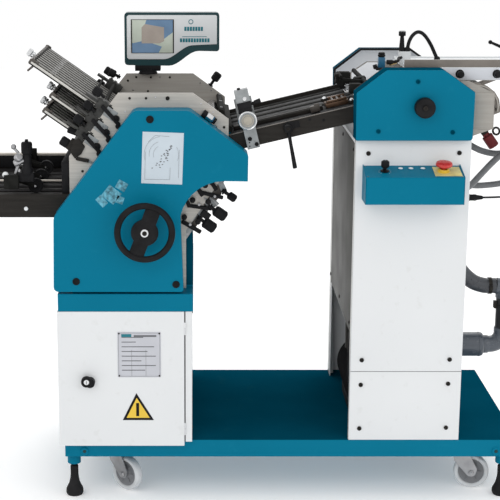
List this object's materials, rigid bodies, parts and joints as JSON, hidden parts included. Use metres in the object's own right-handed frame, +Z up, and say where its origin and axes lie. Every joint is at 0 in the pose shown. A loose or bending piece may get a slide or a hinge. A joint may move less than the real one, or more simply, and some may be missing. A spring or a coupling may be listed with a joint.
{
  "type": "paper folding machine",
  "caption": "Wheeled buckle-plate paper folding machine with fold head, handwheel, sloping infeed table, suction feeder on a cabinet, swivel display and delivery bed.",
  "frame": {"origin": "on the floor, under the centre of the machine's footprint (hoses included in the box, all of them held by the machine)", "axes": "+X from the delivery end to the feeder end (longest), +Y from the operator's side to the back (shortest), +Z up"},
  "size_m": [2.3278, 0.882, 1.6248],
  "materials": {
    "teal_paint": "semi-gloss powder coat",
    "white_paint": "satin powder coat",
    "milled_aluminium": "milled, satin",
    "black_steel": "blackened, satin",
    "bright_steel": "ground, bright",
    "black_plastic": "moulded, matt",
    "black_rubber": "matt",
    "grey_tyre": "moulded grey tread",
    "red_plastic": "glossy",
    "grey_hose": "flexible PVC, satin",
    "grey_pvc": "rigid PVC, semi-gloss",
    "display_housing": "moulded, satin",
    "pale_label": "printed film",
    "screen": "coated glass look, lit",
    "yellow_plastic": "glossy",
    "blue_plastic": "glossy",
    "beige_guide": "satin sheet",
    "drive_belt": "woven rubber belt"
  },
  "bodies": {
    "root": {"base_frame": "teal_paint", "stand_frame": "teal_paint", "front_cover": "teal_paint", "rear_cover": "teal_paint", "feeder_front_cover": "teal_paint", "feeder_rear_cover": "teal_paint", "control_box": "teal_paint", "electrical_cabinet": "white_paint", "feeder_cabinet": "white_paint", "side_plate_front": "milled_aluminium", "side_plate_rear": "milled_aluminium", "fold_plate_1": "milled_aluminium", "fold_plate_2": "milled_aluminium", "fold_plate_3": "milled_aluminium", "feeder_frame": "milled_aluminium", "feeder_table": "milled_aluminium", "delivery_frame": "black_steel", "infeed_table": "black_steel", "lower_deflectors": "black_steel", "vacuum_pump": "black_plastic", "top_air_hose": "black_rubber", "sensor_cable": "black_rubber", "suction_hose": "grey_hose", "air_hose_1": "grey_hose", "air_hose_2": "grey_hose", "air_hose_3": "grey_hose", "return_pipe": "grey_pvc"},
    "levelling_foot_front_left": {"levelling_foot_front_left": "black_rubber"},
    "levelling_foot_front_right": {"levelling_foot_front_right": "black_rubber"},
    "levelling_foot_rear_left": {"levelling_foot_rear_left": "black_rubber"},
    "levelling_foot_rear_right": {"levelling_foot_rear_right": "black_rubber"},
    "caster_fork_front_left": {"caster_fork_front_left": "bright_steel"},
    "caster_wheel_front_left": {"caster_wheel_front_left": "grey_tyre"},
    "caster_fork_front_right": {"caster_fork_front_right": "bright_steel"},
    "caster_wheel_front_right": {"caster_wheel_front_right": "grey_tyre"},
    "caster_fork_rear_left": {"caster_fork_rear_left": "bright_steel"},
    "caster_wheel_rear_left": {"caster_wheel_rear_left": "grey_tyre"},
    "caster_fork_rear_right": {"caster_fork_rear_right": "bright_steel"},
    "caster_wheel_rear_right": {"caster_wheel_rear_right": "grey_tyre"},
    "cabinet_door": {"cabinet_door": "white_paint"},
    "door_lock": {"door_lock": "black_plastic"},
    "handwheel": {"handwheel": "black_plastic", "drive_roller": "bright_steel"},
    "fold_roller_1": {"fold_roller_1": "bright_steel"},
    "fold_roller_2": {"fold_roller_2": "bright_steel"},
    "feed_roller": {"feed_roller": "bright_steel"},
    "plate_stop_1": {"plate_stop_1": "milled_aluminium"},
    "stop_knob_1": {"stop_knob_1": "bright_steel"},
    "plate_stop_2": {"plate_stop_2": "milled_aluminium"},
    "stop_knob_2": {"stop_knob_2": "bright_steel"},
    "plate_stop_3": {"plate_stop_3": "milled_aluminium"},
    "stop_knob_3": {"stop_knob_3": "bright_steel"},
    "display_panel": {"display_panel": "display_housing"},
    "press_wheel": {"press_wheel": "black_rubber"},
    "side_lay": {"side_lay": "milled_aluminium"},
    "side_lay_dial": {"side_lay_dial": "bright_steel"},
    "clamp_lever": {"clamp_lever": "black_plastic"},
    "suction_drum": {"suction_drum": "milled_aluminium"},
    "speed_knob": {"speed_knob": "black_plastic"},
    "estop_button": {"estop_button": "red_plastic"}
  },
  "joints": [
    {"name": "foot_screw_front_left", "type": "slide", "parent": "root", "child": "levelling_foot_front_left", "axis": [0, 0, -1], "range_m": [0, 0.03]},
    {"name": "foot_screw_front_right", "type": "slide", "parent": "root", "child": "levelling_foot_front_right", "axis": [0, 0, -1], "range_m": [0, 0.03]},
    {"name": "foot_screw_rear_left", "type": "slide", "parent": "root", "child": "levelling_foot_rear_left", "axis": [0, 0, -1], "range_m": [0, 0.03]},
    {"name": "foot_screw_rear_right", "type": "slide", "parent": "root", "child": "levelling_foot_rear_right", "axis": [0, 0, -1], "range_m": [0, 0.03]},
    {"name": "caster_swivel_front_left", "type": "hinge", "parent": "root", "child": "caster_fork_front_left", "pos_m": [-0.5019, -0.234, 0.15], "axis": [0, 0, 1], "continuous": true},
    {"name": "caster_spin_front_left", "type": "hinge", "parent": "caster_fork_front_left", "child": "caster_wheel_front_left", "pos_m": [-0.47126, -0.25971, 0.0635], "axis": [0.6428, 0.766, 0], "continuous": true},
    {"name": "caster_swivel_front_right", "type": "hinge", "parent": "root", "child": "caster_fork_front_right", "pos_m": [0.7001, -0.234, 0.15], "axis": [0, 0, 1], "continuous": true},
    {"name": "caster_spin_front_right", "type": "hinge", "parent": "caster_fork_front_right", "child": "caster_wheel_front_right", "pos_m": [0.73971, -0.23957, 0.0635], "axis": [0.1392, 0.9903, 0], "continuous": true},
    {"name": "caster_swivel_rear_left", "type": "hinge", "parent": "root", "child": "caster_fork_rear_left", "pos_m": [-0.5019, 0.332, 0.15], "axis": [0, 0, 1], "continuous": true},
    {"name": "caster_spin_rear_left", "type": "hinge", "parent": "caster_fork_rear_left", "child": "caster_wheel_rear_left", "pos_m": [-0.46565, 0.34891, 0.0635], "axis": [-0.4226, 0.9063, 0], "continuous": true},
    {"name": "caster_swivel_rear_right", "type": "hinge", "parent": "root", "child": "caster_fork_rear_right", "pos_m": [0.7001, 0.332, 0.15], "axis": [0, 0, 1], "continuous": true},
    {"name": "caster_spin_rear_right", "type": "hinge", "parent": "caster_fork_rear_right", "child": "caster_wheel_rear_right", "pos_m": [0.66301, 0.34698, 0.0635], "axis": [-0.3746, -0.9272, 0], "continuous": true},
    {"name": "door_hinge", "type": "hinge", "parent": "root", "child": "cabinet_door", "pos_m": [-0.2699, -0.361, 0.44], "axis": [0, 0, 1], "range_deg": [0, 110]},
    {"name": "door_lock_turn", "type": "hinge", "parent": "cabinet_door", "child": "door_lock", "pos_m": [-0.5969, -0.361, 0.438], "axis": [0, -1, 0], "range_deg": [0, 90]},
    {"name": "handwheel_turn", "type": "hinge", "parent": "root", "child": "handwheel", "pos_m": [-0.3979, -0.339, 0.963], "axis": [0, 1, 0], "continuous": true},
    {"name": "fold_roller_1_turn", "type": "hinge", "parent": "root", "child": "fold_roller_1", "pos_m": [-0.31358, -0.339, 1.08342], "axis": [0, 1, 0], "continuous": true},
    {"name": "fold_roller_2_turn", "type": "hinge", "parent": "root", "child": "fold_roller_2", "pos_m": [-0.28146, -0.339, 1.12929], "axis": [0, 1, 0], "continuous": true},
    {"name": "feed_roller_turn", "type": "hinge", "parent": "root", "child": "feed_roller", "pos_m": [-0.17134, -0.339, 1.28656], "axis": [0, 1, 0], "continuous": true},
    {"name": "plate_stop_1_slide", "type": "slide", "parent": "root", "child": "plate_stop_1", "axis": [0.8192, 0, -0.5736], "range_m": [-0.05, 0.25]},
    {"name": "stop_knob_1_turn", "type": "hinge", "parent": "root", "child": "stop_knob_1", "pos_m": [-0.77565, -0.064, 1.49852], "axis": [0.8192, 0, -0.5736], "range_deg": [-1800.5, 9000.5]},
    {"name": "plate_stop_2_slide", "type": "slide", "parent": "root", "child": "plate_stop_2", "axis": [0.8192, 0, -0.5736], "range_m": [-0.05, 0.25]},
    {"name": "stop_knob_2_turn", "type": "hinge", "parent": "root", "child": "stop_knob_2", "pos_m": [-0.71058, -0.064, 1.38642], "axis": [0.8192, 0, -0.5736], "range_deg": [-1800.5, 9000.5]},
    {"name": "plate_stop_3_slide", "type": "slide", "parent": "root", "child": "plate_stop_3", "axis": [0.8192, 0, -0.5736], "range_m": [-0.05, 0.25]},
    {"name": "stop_knob_3_turn", "type": "hinge", "parent": "root", "child": "stop_knob_3", "pos_m": [-0.73447, -0.064, 1.33662], "axis": [0.8192, 0, -0.5736], "range_deg": [-1800.5, 9000.5]},
    {"name": "display_swivel", "type": "hinge", "parent": "root", "child": "display_panel", "pos_m": [-0.4069, 0.313, 1.42], "axis": [0, 0, 1], "range_deg": [-60, 60]},
    {"name": "press_wheel_spin", "type": "hinge", "parent": "root", "child": "press_wheel", "pos_m": [-0.7749, -0.189, 1.0755], "axis": [0, 1, 0], "continuous": true},
    {"name": "side_lay_slide", "type": "slide", "parent": "root", "child": "side_lay", "axis": [0.9728, 0, 0.2317], "range_m": [0, 0.075]},
    {"name": "side_lay_dial_turn", "type": "hinge", "parent": "side_lay", "child": "side_lay_dial", "pos_m": [-0.06116, -0.299, 1.31336], "axis": [0, 1, 0], "range_deg": [-360, 360]},
    {"name": "clamp_lever_turn", "type": "hinge", "parent": "root", "child": "clamp_lever", "pos_m": [0.0721, -0.284, 1.285], "axis": [0, -1, 0], "range_deg": [0, 75]},
    {"name": "suction_drum_turn", "type": "hinge", "parent": "root", "child": "suction_drum", "pos_m": [0.5061, -0.339, 1.366], "axis": [0, 1, 0], "continuous": true},
    {"name": "speed_knob_turn", "type": "hinge", "parent": "root", "child": "speed_knob", "pos_m": [0.3831, -0.389, 1.1585], "axis": [0, -0.2241, 0.9746], "range_deg": [-135, 135]},
    {"name": "estop_press", "type": "slide", "parent": "root", "child": "estop_button", "axis": [0, 0.2241, -0.9746], "range_m": [0, 0.005], "stiffness_N_per_m": 1500}
  ],
  "couplings": [
    {"joint": "fold_roller_1_turn", "follows": "handwheel_turn", "ratio": 1},
    {"joint": "fold_roller_2_turn", "follows": "handwheel_turn", "ratio": 1},
    {"joint": "feed_roller_turn", "follows": "handwheel_turn", "ratio": 1},
    {"joint": "stop_knob_1_turn", "follows": "plate_stop_1_slide", "rad_per_m": 628.32},
    {"joint": "stop_knob_2_turn", "follows": "plate_stop_2_slide", "rad_per_m": 628.32},
    {"joint": "stop_knob_3_turn", "follows": "plate_stop_3_slide", "rad_per_m": 628.32}
  ]
}
